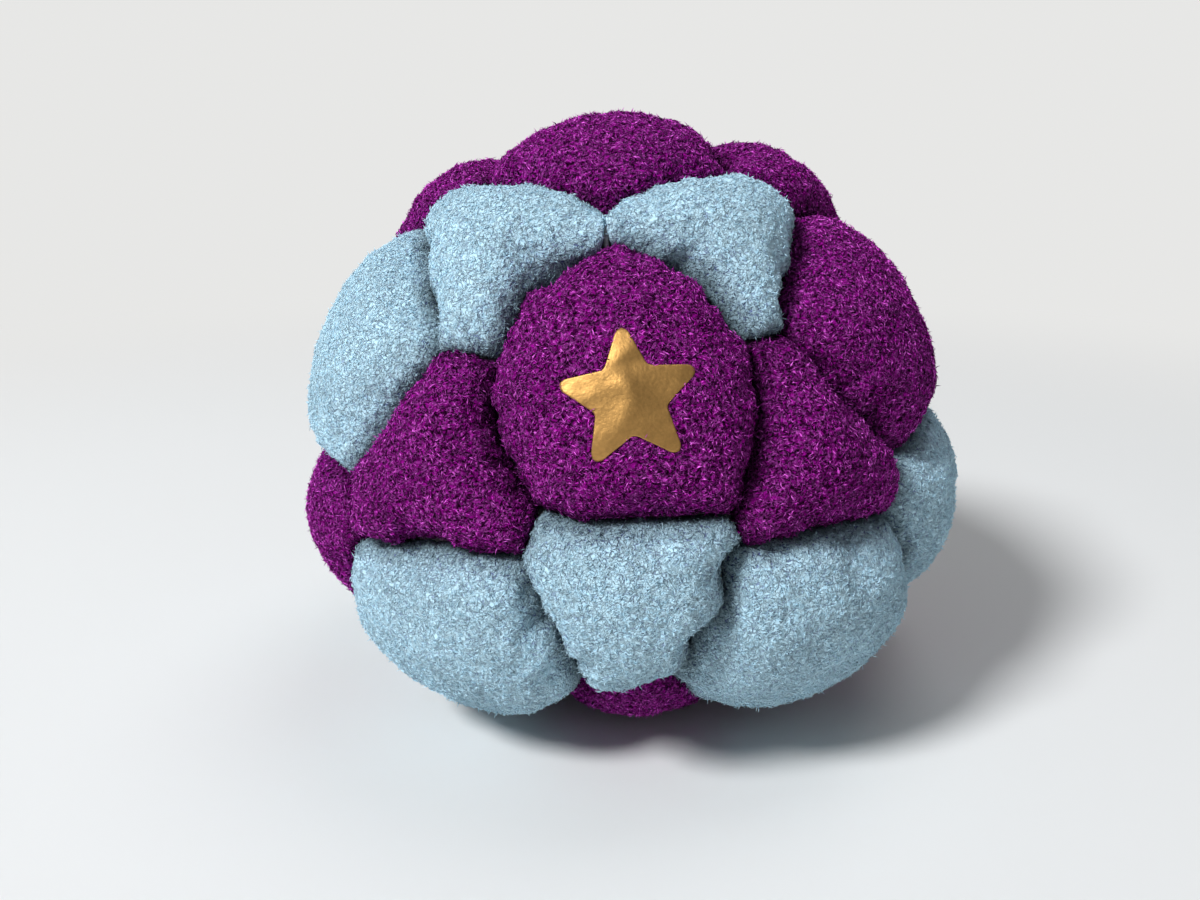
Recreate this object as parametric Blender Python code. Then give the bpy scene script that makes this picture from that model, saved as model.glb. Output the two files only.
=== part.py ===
"""A footbag: a palm-sized kicking bag of 32 suede panels round a loose fill.

Twelve five-sided and twenty six-sided panels are sewn edge to edge with their edges
turned in. One thread runs between all the turned edges, and the fill pushes every
panel out into a puff. The bag has settled under its own weight, so it is a little
wider than it is tall and rests on a flat patch.

Metres, +Z up. The round front panel faces -Y. The origin is under the middle of the
bag, on the surface that it rests on.
"""

import math

import bmesh
import bpy
from mathutils import Matrix, Vector

# Form of the whole bag, measured over the crowns of the panels
half_width = 0.0270
rise_above_widest = 0.0295
drop_below_widest = 0.0195
pressed_flat = 0.0029
widest_level = drop_below_widest - pressed_flat
heart_share = 0.455
heart_height = heart_share * (rise_above_widest + widest_level)

# Suede panels
panel_wall = 0.0010
puff_rise = 0.0026
puff_reach = 0.0045
crown_rise = 0.0006
turned_edge = 0.0016
seam_gap = 0.0003

# Thread in the seams, and the room round it and round the fill
thread_width = 0.0004
thread_height = 0.0004
clearance = 0.0003

# How the pattern of panels lies on the bag, turned about Z, Y and X in that order
spin_angle = math.radians(-1.0)
lean_angle = math.radians(-4.0)
nod_angle = math.radians(4.0)
shoulder_latitude = math.atan(0.5)
corner_share = 0.42
bow_share = 0.04
long_seam_steps = 4
short_seam_steps = 2

# Where the rings of each panel's mesh lie between its seam and its centre
edge_ring_shares = (0.55, 0.18)
middle_ring_share = 0.64
reach_limit_share = 0.9
inner_ring_share = 0.6
slant_share = 1.15

PURPLE = ("purple_suede", (0.165, 0.010, 0.130), 0.85)
BLUE = ("light_blue_suede", (0.36, 0.56, 0.68), 0.85)
THREAD = ("seam_thread", (0.050, 0.008, 0.045), 0.6)
FILL = ("loose_fill", (0.62, 0.56, 0.42), 0.9)

# Each ring of panels from the front round to the right, with the colour of each panel
SHOULDER = [
    ("shoulder_panel_front", PURPLE),
    ("shoulder_panel_right", PURPLE),
    ("shoulder_panel_back_right", BLUE),
    ("shoulder_panel_back_left", PURPLE),
    ("shoulder_panel_left", BLUE),
]
HIP = [
    ("hip_panel_front_right", BLUE),
    ("hip_panel_right", PURPLE),
    ("hip_panel_back", BLUE),
    ("hip_panel_left", BLUE),
    ("hip_panel_front_left", BLUE),
]
CROWN = [
    ("crown_panel_front_right", BLUE),
    ("crown_panel_right", PURPLE),
    ("crown_panel_back", BLUE),
    ("crown_panel_left", PURPLE),
    ("crown_panel_front_left", BLUE),
]
WAIST = [
    ("waist_panel_front_right", PURPLE),
    ("waist_panel_right", BLUE),
    ("waist_panel_back", PURPLE),
    ("waist_panel_left", BLUE),
    ("waist_panel_front_left", PURPLE),
]
BELLY = [
    ("belly_panel_front", BLUE),
    ("belly_panel_right", BLUE),
    ("belly_panel_back_right", PURPLE),
    ("belly_panel_back_left", PURPLE),
    ("belly_panel_left", PURPLE),
]
FOOT = [
    ("foot_panel_right", PURPLE),
    ("foot_panel_back_right", BLUE),
    ("foot_panel_back_left", PURPLE),
    ("foot_panel_left", BLUE),
    ("foot_panel_front", PURPLE),
]
TOP = ("top_panel", PURPLE)
BOTTOM = ("bottom_panel", BLUE)

# Sides of five-sided panels that bow outwards more or less than the others, in shares of the
# side's length. A side is named by its panel and the six-sided panel beyond it.
side_bow_shares = {
    ("shoulder_panel_front", "crown_panel_front_left"): 0.14,
    ("shoulder_panel_front", "crown_panel_front_right"): 0.14,
    ("shoulder_panel_front", "waist_panel_front_left"): 0.09,
    ("shoulder_panel_front", "waist_panel_front_right"): 0.09,
    ("shoulder_panel_front", "belly_panel_front"): 0.0,
}

# Corners that the hand sewing and the settled fill have pulled out of the even pattern.
# A corner is named by the nearer and the further of the two five-sided panels that it lies
# between, and moves right and up, in shares of its distance from the heart of the bag.
corner_shift_shares = {
    ("shoulder_panel_front", "top_panel"): (-0.005, -0.03),
    ("top_panel", "shoulder_panel_front"): (0.005, -0.05),
    ("shoulder_panel_front", "shoulder_panel_right"): (-0.05, -0.015),
    ("shoulder_panel_right", "shoulder_panel_front"): (-0.125, -0.035),
    ("shoulder_panel_front", "hip_panel_front_right"): (0.03, -0.025),
    ("hip_panel_front_right", "shoulder_panel_front"): (-0.055, 0.05),
    ("shoulder_panel_front", "hip_panel_front_left"): (0.02, 0.015),
    ("hip_panel_front_left", "shoulder_panel_front"): (0.07, 0.055),
    ("shoulder_panel_front", "shoulder_panel_left"): (0.065, 0.0),
    ("shoulder_panel_left", "shoulder_panel_front"): (0.06, -0.035),
    ("top_panel", "shoulder_panel_right"): (-0.09, -0.03),
    ("shoulder_panel_right", "top_panel"): (-0.01, -0.03),
    ("shoulder_panel_right", "hip_panel_front_right"): (-0.05, -0.03),
    ("hip_panel_front_right", "shoulder_panel_right"): (-0.01, -0.02),
    ("hip_panel_front_right", "hip_panel_front_left"): (-0.03, 0.12),
    ("hip_panel_front_left", "hip_panel_front_right"): (-0.05, 0.075),
    ("hip_panel_front_left", "shoulder_panel_left"): (-0.04, -0.01),
    ("shoulder_panel_left", "hip_panel_front_left"): (0.02, 0.0),
    ("shoulder_panel_left", "top_panel"): (-0.11, 0.0),
    ("top_panel", "shoulder_panel_left"): (-0.02, -0.01),
}


def clear_scene():
    for thing in list(bpy.data.objects):
        bpy.data.objects.remove(thing)


def material(look):
    name, colour, roughness = look
    made = bpy.data.materials.get(name)
    if made is None:
        made = bpy.data.materials.new(name)
        made.use_nodes = True
        shader = made.node_tree.nodes["Principled BSDF"]
        shader.inputs["Base Color"].default_value = (*colour, 1.0)
        shader.inputs["Roughness"].default_value = roughness
        shader.inputs["Metallic"].default_value = 0.0
    return made


def add_object(name, mesh_builder, look):
    """Closes a bmesh into one named object, with its faces turned outwards."""
    bmesh.ops.recalc_face_normals(mesh_builder, faces=mesh_builder.faces[:])
    mesh = bpy.data.meshes.new(name)
    mesh_builder.to_mesh(mesh)
    mesh_builder.free()
    mesh.materials.append(material(look))
    mesh.shade_smooth()
    made = bpy.data.objects.new(name, mesh)
    bpy.context.scene.collection.objects.link(made)
    return made


def aim(azimuth, latitude):
    """A direction. Azimuth 0 is the front and grows to the right."""
    across = math.cos(latitude)
    return Vector((math.sin(azimuth) * across, -math.cos(azimuth) * across, math.sin(latitude)))


def round_panel_aims():
    """The twelve directions in which the five-sided panels face, by panel name."""
    turn = (
        Matrix.Rotation(nod_angle, 3, "X")
        @ Matrix.Rotation(lean_angle, 3, "Y")
        @ Matrix.Rotation(spin_angle, 3, "Z")
    )
    step = math.tau / len(SHOULDER)
    aims = {TOP[0]: Vector((0, 0, 1)), BOTTOM[0]: Vector((0, 0, -1))}
    for i, (name, _) in enumerate(SHOULDER):
        aims[name] = aim(i * step, shoulder_latitude)
    for i, (name, _) in enumerate(HIP):
        aims[name] = aim((i + 0.5) * step, -shoulder_latitude)
    return {name: turn @ direction for name, direction in aims.items()}


def three_round_neighbours():
    """For each six-sided panel, the three five-sided panels that it lies between."""
    top, bottom = TOP[0], BOTTOM[0]
    shoulder = [name for name, _ in SHOULDER]
    hip = [name for name, _ in HIP]
    between = {}
    for i in range(len(SHOULDER)):
        after = (i + 1) % len(SHOULDER)
        between[CROWN[i][0]] = (top, shoulder[i], shoulder[after])
        between[WAIST[i][0]] = (shoulder[i], hip[i], shoulder[after])
        between[BELLY[i][0]] = (shoulder[i], hip[i - 1], hip[i])
        between[FOOT[i][0]] = (bottom, hip[after], hip[i])
    return between


def corner(aims, near, far):
    """Where three panels meet, on the way from one five-sided panel to the next."""
    even = aims[near].lerp(aims[far], corner_share).normalized()
    right = Vector((0, 0, 1)).cross(even).normalized()
    up = even.cross(right)
    right_share, up_share = corner_shift_shares.get((near, far), (0.0, 0.0))
    return (even + right * right_share + up * up_share).normalized()


def bow_share_between(panel, first, last):
    """How far a five-sided panel's side bows, between its corners by two neighbours."""
    for beyond, three in three_round_neighbours().items():
        if set(three) == {panel, first, last}:
            return side_bow_shares.get((panel, beyond), bow_share)


def long_seam(aims, panel, first, last):
    """Points along a five-sided panel's side, from its corner by one neighbour to the next."""
    share = bow_share_between(panel, first, last)
    start, end = corner(aims, panel, first), corner(aims, panel, last)
    outward = ((start + end) / 2 - aims[panel]).normalized() * (end - start).length * share
    points = []
    for i in range(long_seam_steps):
        t = i / long_seam_steps
        point = start.lerp(end, t) + outward * math.sin(math.pi * t)
        points.append((seam_key(panel, first, last, i, long_seam_steps), point.normalized()))
    return points


def short_seam(aims, near, far):
    """Points along the seam of two six-sided panels, between two five-sided ones."""
    start, end = corner(aims, near, far), corner(aims, far, near)
    return [
        (seam_key(near, far, None, i, short_seam_steps), start.lerp(end, i / short_seam_steps).normalized())
        for i in range(short_seam_steps)
    ]


def seam_key(panel, first, last, i, steps):
    """One name for a seam point, whichever of the panels that share it asks."""
    if i == 0:
        return ("corner", panel, first)
    if last is None:
        return ("short", *sorted((panel, first)), i if panel < first else steps - i)
    return ("long", panel, *sorted((first, last)), i if first < last else steps - i)


def outline_of_round_panel(aims, name):
    """Keys and directions round a five-sided panel, anticlockwise seen from outside."""
    centre = aims[name]
    closest = sorted(aims, key=lambda other: -centre.dot(aims[other]))[1:6]
    side = aims[closest[0]] - centre * centre.dot(aims[closest[0]])
    side.normalize()
    up = centre.cross(side)
    closest.sort(key=lambda other: math.atan2(aims[other].dot(up), aims[other].dot(side)))
    outline = []
    for i, first in enumerate(closest):
        outline += long_seam(aims, name, first, closest[(i + 1) % len(closest)])
    return outline


def outline_of_six_sided_panel(aims, three):
    """Keys and directions round a six-sided panel, anticlockwise seen from outside."""
    a, b, c = three
    if aims[a].dot(aims[b].cross(aims[c])) < 0:
        b, c = c, b
    outline = []
    for before, here, after in ((c, a, b), (a, b, c), (b, c, a)):
        outline += long_seam(aims, here, before, after)
        outline += short_seam(aims, here, after)
    return outline


def envelope(direction):
    """How far the crown of a panel in that direction is from the heart of the bag.

    The crowns lie on half an ellipsoid above the widest level and a flatter half below.
    """
    across = math.hypot(direction.x, direction.y) / half_width
    for half_height, side in ((rise_above_widest, 1), (drop_below_widest, -1)):
        steepness = direction.z / half_height
        start = (heart_height - widest_level) / half_height
        square = across**2 + steepness**2
        radius = math.sqrt((steepness * start) ** 2 + square * (1 - start**2)) - steepness * start
        radius /= square
        if side * (heart_height + radius * direction.z - widest_level) >= 0:
            break
    return radius


def groove_radius(direction):
    return envelope(direction) - puff_rise - crown_rise


def puff(distance, length):
    """Height of the panel above its groove, at a distance in from a seam that far from the centre."""
    reach = min(puff_reach, length * reach_limit_share)
    rounding = 1 - min(distance / reach, 1)
    share = 1 - min(distance / length, 1)
    return puff_rise * math.sqrt(1 - rounding**2) + crown_rise * (1 - share**2)


def place(direction, radius, lowest):
    """A point at a radius from the bag's heart, pressed up where the bag rests."""
    point = direction.normalized() * radius
    point.z = max(point.z + heart_height, lowest)
    return point


def side_steps(outline):
    """For each outline point, the way in from the seam, lengthened at corners to keep the gap even."""
    steps = []
    count = len(outline)
    for i in range(count):
        here = outline[i][1]
        before = (here - outline[i - 1][1]).normalized()
        after = (outline[(i + 1) % count][1] - here).normalized()
        in_before, in_after = here.cross(before), here.cross(after)
        steps.append((in_before + in_after) / (1 + in_before.dot(in_after)))
    return steps


class Panel:
    """One panel's outline, and the rings of points that its solids are lofted through."""

    def __init__(self, outline):
        self.keys = [key for key, _ in outline]
        self.rim = [direction for _, direction in outline]
        self.steps = side_steps(outline)
        self.centre = sum(self.rim, Vector()).normalized()
        self.lengths = [
            (direction - self.centre).length * groove_radius(direction) for direction in self.rim
        ]

    def beside_seam(self, distance, below_groove):
        """The outline moved a little way square in from the seam, at a depth below the groove."""
        ring = []
        for direction, step in zip(self.rim, self.steps):
            radius = groove_radius(direction)
            ring.append(place(direction + step * (distance / radius), radius - below_groove, 0.0))
        return ring

    def drawn_in(self, distance, below_groove):
        """The outline moved towards the panel's centre, at a depth below the groove."""
        ring = []
        for direction, length in zip(self.rim, self.lengths):
            inward = direction.lerp(self.centre, slant_share * distance / length)
            ring.append(place(inward, groove_radius(direction) - below_groove, 0.0))
        return ring

    def puffed(self, share, depth, lowest, of_reach=True, extra=0.0):
        """A ring on the puffed surface, or below it by a depth.

        Its distance in from the seam is a share of the rounded edge, or else of the
        way to the centre.
        """
        ring = []
        for direction, length in zip(self.rim, self.lengths):
            whole = min(puff_reach, length * reach_limit_share) if of_reach else length
            distance = share * whole + extra
            inward = direction.lerp(self.centre, distance / length).normalized()
            radius = groove_radius(inward) + puff(distance, length) - depth
            ring.append(place(inward, radius, lowest))
        return ring

    def middle(self, depth, lowest):
        return place(self.centre, envelope(self.centre) - depth, lowest)


def add_ring(builder, points):
    return [builder.verts.new(point) for point in points]


def loft(builder, rings):
    """Quads between each ring and the next."""
    for first, second in zip(rings, rings[1:]):
        for i in range(len(first)):
            after = (i + 1) % len(first)
            builder.faces.new((first[i], first[after], second[after], second[i]))


def cap(builder, ring, point):
    """A fan of triangles from a ring to one point."""
    tip = builder.verts.new(point)
    for i in range(len(ring)):
        builder.faces.new((ring[i - 1], ring[i], tip))


def web(builder, rings_by_panel, panels):
    """Faces across every seam and corner, from each panel's ring to its neighbours'."""
    corners, seams = {}, {}
    for name, ring in rings_by_panel.items():
        keys = panels[name].keys
        for i, key in enumerate(keys):
            corners.setdefault(key, []).append(ring[i])
            seams.setdefault(frozenset((keys[i - 1], key)), []).extend((ring[i - 1], ring[i]))
    for vertices in seams.values():
        builder.faces.new(vertices)
    for key, vertices in corners.items():
        if key[0] == "corner":
            builder.faces.new(vertices)


def build_panel(name, look, panel):
    """One suede panel: its puffed face, its turned-in edges and its inner face."""
    pocket = thread_width / 2 + clearance
    outer, near_edge = edge_ring_shares
    builder = bmesh.new()
    rings = [
        add_ring(builder, panel.puffed(middle_ring_share, 0.0, 0.0, of_reach=False)),
        add_ring(builder, panel.puffed(outer, 0.0, 0.0)),
        add_ring(builder, panel.puffed(near_edge, 0.0, 0.0)),
        add_ring(builder, panel.beside_seam(seam_gap / 2, 0.0)),
        add_ring(builder, panel.beside_seam(pocket, turned_edge)),
        add_ring(builder, panel.drawn_in(pocket + panel_wall, turned_edge)),
        add_ring(builder, panel.puffed(inner_ring_share, panel_wall, panel_wall)),
    ]
    loft(builder, rings)
    cap(builder, rings[0], panel.middle(0.0, 0.0))
    cap(builder, rings[-1], panel.middle(panel_wall, panel_wall))
    return add_object(name, builder, look)


def build_thread(panels):
    """The stitching: one net that runs between the turned edges of all the panels."""
    builder = bmesh.new()
    outer, inner = {}, {}
    for name, panel in panels.items():
        outer[name] = add_ring(builder, panel.beside_seam(thread_width / 2, turned_edge - thread_height))
        inner[name] = add_ring(builder, panel.beside_seam(thread_width / 2, turned_edge))
        loft(builder, [outer[name], inner[name]])
    web(builder, outer, panels)
    web(builder, inner, panels)
    return add_object("seam_thread", builder, THREAD)


def build_fill(panels):
    """The loose fill as one body that bulges into every panel, a clearance inside it."""
    lowest = panel_wall + clearance
    beside_edge = thread_width / 2 + clearance + panel_wall + clearance
    builder = bmesh.new()
    valleys = {}
    for name, panel in panels.items():
        shoulder = add_ring(
            builder, panel.puffed(inner_ring_share, panel_wall + clearance, lowest, extra=clearance)
        )
        valleys[name] = add_ring(builder, panel.drawn_in(beside_edge, turned_edge + clearance))
        loft(builder, [shoulder, valleys[name]])
        cap(builder, shoulder, panel.middle(panel_wall + clearance, lowest))
    web(builder, valleys, panels)
    return add_object("loose_fill", builder, FILL)


def stand_on_origin(objects):
    """Moves the meshes so that the origin is under the middle of the bag's box."""
    corners = [Vector(corner_point) for thing in objects for corner_point in thing.bound_box]
    middle_x = (min(c.x for c in corners) + max(c.x for c in corners)) / 2
    middle_y = (min(c.y for c in corners) + max(c.y for c in corners)) / 2
    for thing in objects:
        thing.data.transform(Matrix.Translation((-middle_x, -middle_y, 0)))


def main():
    clear_scene()
    aims = round_panel_aims()
    panels, looks = {}, {}
    for name, look in [TOP, BOTTOM, *SHOULDER, *HIP]:
        panels[name] = Panel(outline_of_round_panel(aims, name))
        looks[name] = look
    between = three_round_neighbours()
    for name, look in [*CROWN, *WAIST, *BELLY, *FOOT]:
        panels[name] = Panel(outline_of_six_sided_panel(aims, between[name]))
        looks[name] = look
    objects = [build_panel(name, looks[name], panel) for name, panel in panels.items()]
    objects.append(build_thread(panels))
    objects.append(build_fill(panels))
    stand_on_origin(objects)


main()
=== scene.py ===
"""Looks for a footbag: 32 puffed suede panels with their nap, a foil star, stitches and fill.

Each panel is a square of cloth that is shaped to its seams and blown up as cloth from inside. It
is then roughened and covered with short fibres. The pattern of seams repeats the sizes of the
solid panels that the cloth replaces.
"""

import math

import bmesh
import bpy
import numpy as np
from mathutils import Matrix, Vector, noise
from mathutils.bvhtree import BVHTree


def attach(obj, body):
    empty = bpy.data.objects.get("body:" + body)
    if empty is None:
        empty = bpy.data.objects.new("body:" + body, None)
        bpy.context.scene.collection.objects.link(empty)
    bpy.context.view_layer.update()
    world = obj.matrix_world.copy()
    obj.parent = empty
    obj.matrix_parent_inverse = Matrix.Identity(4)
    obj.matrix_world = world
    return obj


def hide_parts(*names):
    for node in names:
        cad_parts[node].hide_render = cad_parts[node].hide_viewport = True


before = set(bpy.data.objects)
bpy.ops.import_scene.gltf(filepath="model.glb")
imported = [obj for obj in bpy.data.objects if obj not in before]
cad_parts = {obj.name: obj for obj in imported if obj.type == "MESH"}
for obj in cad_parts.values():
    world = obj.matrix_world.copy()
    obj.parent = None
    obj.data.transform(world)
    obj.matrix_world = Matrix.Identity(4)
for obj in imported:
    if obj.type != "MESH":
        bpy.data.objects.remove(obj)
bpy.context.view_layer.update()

# Form of the whole bag, as the solid panels have it
half_width = 0.0270
rise_above_widest = 0.0295
drop_below_widest = 0.0195
pressed_flat = 0.0029
widest_level = drop_below_widest - pressed_flat
heart_share = 0.455
heart_height = heart_share * (rise_above_widest + widest_level)
panel_wall = 0.0010
puff_rise = 0.0026
puff_reach = 0.0045
crown_rise = 0.0006
turned_edge = 0.0016
thread_width = 0.0004
clearance = 0.0003
spin_angle = math.radians(-1.0)
lean_angle = math.radians(-4.0)
nod_angle = math.radians(4.0)
shoulder_latitude = math.atan(0.5)
corner_share = 0.42
bow_share = 0.04
slant_share = 1.15

# Names of the panels, ring by ring, from the front round to the right
SIDES = ("front", "right", "back_right", "back_left", "left")
CORNERS = ("front_right", "right", "back", "left", "front_left")
SHOULDER, BELLY = ([f"{ring}_panel_{side}" for side in SIDES] for ring in ("shoulder", "belly"))
CROWN, WAIST, HIP = (
    [f"{ring}_panel_{side}" for side in CORNERS] for ring in ("crown", "waist", "hip")
)
FOOT = [f"foot_panel_{side}" for side in (*SIDES[1:], SIDES[0])]
TOP, BOTTOM = "top_panel", "bottom_panel"

# Five-sided panels that show in front: the middle one, those beside it and those below it
FRONT, RIGHT, LEFT = SHOULDER[0], SHOULDER[1], SHOULDER[4]
LOW_RIGHT, LOW_LEFT = HIP[0], HIP[4]

side_bow_shares = {
    (FRONT, "crown_panel_front_left"): 0.14,
    (FRONT, "crown_panel_front_right"): 0.14,
    (FRONT, "waist_panel_front_left"): 0.09,
    (FRONT, "waist_panel_front_right"): 0.09,
    (FRONT, "belly_panel_front"): 0.0,
}
corner_shift_shares = {
    (FRONT, TOP): (-0.005, -0.03),
    (TOP, FRONT): (0.005, -0.05),
    (FRONT, RIGHT): (-0.05, -0.015),
    (RIGHT, FRONT): (-0.125, -0.035),
    (FRONT, LOW_RIGHT): (0.03, -0.025),
    (LOW_RIGHT, FRONT): (-0.055, 0.05),
    (FRONT, LOW_LEFT): (0.02, 0.015),
    (LOW_LEFT, FRONT): (0.07, 0.055),
    (FRONT, LEFT): (0.065, 0.0),
    (LEFT, FRONT): (0.06, -0.035),
    (TOP, RIGHT): (-0.09, -0.03),
    (RIGHT, TOP): (-0.01, -0.03),
    (RIGHT, LOW_RIGHT): (-0.05, -0.03),
    (LOW_RIGHT, RIGHT): (-0.01, -0.02),
    (LOW_RIGHT, LOW_LEFT): (-0.03, 0.12),
    (LOW_LEFT, LOW_RIGHT): (-0.05, 0.075),
    (LOW_LEFT, LEFT): (-0.04, -0.01),
    (LEFT, LOW_LEFT): (0.02, 0.0),
    (LEFT, TOP): (-0.11, 0.0),
    (TOP, LEFT): (-0.02, -0.01),
}

# Cloth: how finely it is cut, and how hard it is blown up at fifty times its size
round_panel_segments = 24
six_sided_panel_segments = 22
smoothing_levels = 2
cloth_map_size = 0.016
square_growth = 2.0
long_seam_steps = 64
short_seam_steps = 32
crowding = 1.3
round_reach = 0.0060
start_share = 0.62
model_scale = 50.0
blow_frames = 20
blow_quality = 5
blow_stiffness = 4.0
blow_pressure = 14.0
blow_slack = 0.07
blow_limit = 0.0012
floor_softness = 0.0005

# Bends of a five-sided panel's side, from its corner by one neighbour to its corner by the next:
# how far along the side, and how far away from the panel's middle
side_bends = {
    (LOW_LEFT, FRONT, LOW_RIGHT): [(0.12, 0.0003), (0.38, -0.0006)],
    (LOW_RIGHT, FRONT, LOW_LEFT): [(0.12, 0.0006), (0.38, -0.0007), (0.8, -0.0006)],
    (TOP, FRONT, LEFT): [(0.3, -0.0004), (0.45, -0.0005), (0.6, -0.0004)],
    (TOP, FRONT, RIGHT): [(0.3, -0.0004), (0.45, -0.0005), (0.6, -0.0004)],
    (LEFT, TOP, FRONT): [(0.85, 0.0006)],
    (RIGHT, TOP, FRONT): [(0.82, 0.0006)],
}
bend_width_share = 0.1

# Tucks, where one stitch pulls a seam in hard: the same kind of side, and how far along it
tucks = [
    (LOW_LEFT, FRONT, LOW_RIGHT, 0.40),
    (LOW_LEFT, FRONT, LOW_RIGHT, 0.76),
    (LOW_RIGHT, FRONT, LOW_LEFT, 0.14),
    (LOW_RIGHT, FRONT, LOW_LEFT, 0.62),
    (TOP, FRONT, LEFT, 0.0),
    (FRONT, TOP, LEFT, 0.40),
    (FRONT, TOP, RIGHT, 0.45),
    (LEFT, TOP, FRONT, 0.45),
    (RIGHT, FRONT, LOW_RIGHT, 0.30),
    (LOW_LEFT, LEFT, FRONT, 0.60),
]
tuck_depth = 0.0010
tuck_reach = 0.0012

# Panels that stand higher or lie lower than the even form
panel_rises = {
    "belly_panel_front": 0.0004,
    "crown_panel_front_left": 0.0003,
    "crown_panel_front_right": 0.0004,
    "crown_panel_left": 0.0006,
    "crown_panel_right": 0.0003,
    RIGHT: -0.0004,
    "belly_panel_left": -0.0003,
    TOP: -0.0003,
    "foot_panel_front": -0.0018,
}

# Hand sewing: seams that wander, creases that the stitches pull, and a seam pulled less deep
sewing_gap = 0.00010
drift_size = 0.0038
drift_reach = 0.0004
crease_pitch = 0.0027
crease_depth = 0.0013
crease_reach = 0.0014
crease_sharpness = 3.5
crease_power = 1.5
shallow_seam = (FRONT, TOP)
shallow_share = 0.3
shallow_rise = 0.0021
shallow_reach = 0.0018

# Relief of the cloth: lumps from the fill, then tufts of the pile
lump_size = 0.0034
lump_rise = 0.00035
lump_detail = 1.0
tuft_size = 0.00050
tuft_rise = 0.00036
tuft_detail = 2.0
blue_tuft_share = 0.6
relief_distortion = 0.6
least_room_share = 0.15
# How much farther from its seam the shallow seam counts, so that it takes less painted shade
shallow_less_shade_share = 0.7

# Nap
fibre_length = 0.00040
fibre_width = 0.000044
fibre_scales = (0.6, 1.5)
fibre_bend_share = 0.10
fibre_tip_share = 0.6
fibre_root_share = 0.1
fibres_per_square_metre = 24e6
clump_size = 0.00042
clump_distortion = 0.5
nap_lean = 9.0
nap_lift = 0.3
nap_stray = 0.42
bare_edge = 0.0002
nap_above_floor = 0.00002

# Grain of the pile, in grains per metre: tufts parted by cracks, and curls that lie over them
tuft_grain = 2500.0
tuft_stretch = (0.8, 0.8, 1.35)
warp_grain = 2900.0
warp_reach = 0.0005
bridge_grain = 1700.0
bridge_slope = 0.15
curl_grain = 2300.0
curl_width_share = 0.05
curl_height_share = 0.4
fine_grain = 4500.0
pile_bump = 0.00024

# Light and dark in the pile: painted shade and glints by its height from 0 to 1 and its strands, and
# its grain
# Painted shade: pile below this share of its height takes the crack shade colour
painted_shade_height_share = 0.12
# Painted light: fibres lighten towards their tips, leaving painted shade at their roots
strand_light_share = 0.2
tip_painted_light_share = 0.15
# Painted glints: strands above this share, and curls up to this much, turn towards the glint colour
glint_strand_share = 0.75
glint_curl_share = 0.7
fine_contrast = 4.0
fine_middle = 2.75
strand_contrast = 1.5
darkest_grain_share = 0.2
# Painted shade in the cracks: darkest at the seams, lightening over this reach
crack_shade_reach = (0.0004, 0.0024)
# Painted shade in the grooves: the pile darkens to this share at the seams, over this reach
groove_reach = 0.0014
groove_shade_share = 0.28
patch_grain = 210.0
patch_shade_shares = (0.9, 1.06)
patch_roughness = (0.95, 0.8)
suede_gloss = 0.03
suede_sheen = 0.03
sheen_roughness = 0.5

# Star of foil on the front panel
star_radius = 0.0050
star_notch_radius = 0.0023
star_tilt = math.radians(8)
star_right = 0.0008
star_drop = 0.0014
foil_spread_shares = [
    (0, 0), (0.5, 0), (-0.5, 0), (0, 0.5), (0, -0.5), (0.4, 0.4), (-0.4, 0.4), (0.4, -0.4),
    (-0.4, -0.4),
]
foil_thickness = 0.00004
foil_press = 0.00012
foil_crinkle = 0.000007
foil_crinkle_size = 0.0004
foil_rings = 24
foil_steps = 240
foil_middle_share = 0.0001
foil_margin = 0.00008
flat_margin = 0.0006
tip_blunting = 0.035
tip_blunting_steps = 3
cast_height = 0.01

# Stitches and pellets
stitch_pitch = 0.0024
stitch_length = 0.0028
stitch_depth = 0.0014
stitch_spans = (0.4, 0.5, 0.6)
smallest_stitch_share = 0.9
pellet_size = 0.0031
pellet_length_share = 0.8
smallest_pellet_share = 0.85
pellet_depth = 0.0020
nudge_size = 0.004
nudge_reach = 0.0003
turn_size = 0.002

# Finishes by slot: pile, painted shade between its tufts, the colour of painted glints, then the height
# at which it is fully lit, how wide its cracks are, how many close again, how light their painted shade
# stays away from seams, how uneven its fine grain is, and how strong painted glints on its strands get
PURPLE = (
    "purple_suede", (0.45, 0.007, 0.39), (0.02, 0.0003, 0.015), (0.88, 0.18, 0.84),
    0.85, 0.19, 0.52, 0.0, 0.50, 0.85,
)
BLUE = (
    "light_blue_suede", (0.60, 0.86, 1.0), (0.18, 0.23, 0.54), (0.74, 0.95, 1.0),
    0.42, 0.11, 0.48, 0.52, 0.03, 0.20,
)
SUEDE_AMOUNTS = ("Full", "Parting", "Bridged", "Open", "Uneven", "Glint")
BLUE_PANELS = {
    LEFT, "shoulder_panel_back_right", LOW_RIGHT, "hip_panel_back", "hip_panel_left", LOW_LEFT,
    "crown_panel_front_right", "crown_panel_front_left", "crown_panel_back", "waist_panel_right",
    "waist_panel_left", "belly_panel_front", "belly_panel_right", "foot_panel_back_right",
    "foot_panel_left", BOTTOM,
}

# Plain finishes by slot: colour, roughness, how metallic, grains per metre and how high they are
PLAIN_FINISHES = {
    "gold_foil": ((0.55, 0.31, 0.10), 0.5, 1.0, 5000.0, 0.00002),
    "seam_thread": ((0.05, 0.008, 0.045), 0.6, 0.0, 2200.0, 0.00005),
    "loose_fill": ((0.62, 0.56, 0.42), 0.55, 0.0, 2200.0, 0.00005),
}
grain_shade_shares = (0.72, 1.2)

# Studio: the floor, which is evenly lit far from the bag, then the lamps and the camera
FLOOR_COLOUR = (0.80, 0.80, 0.79)
floor_roughness = 0.9
even_floor_reach = (0.07, 0.20)
floor_front = 2.0
floor_back = 0.8
floor_curve = 0.5
floor_half_width = 2.5
backdrop_top = 2.5
WORLD_COLOUR = (0.95, 0.97, 1.0)
world_strength = 0.18

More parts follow.
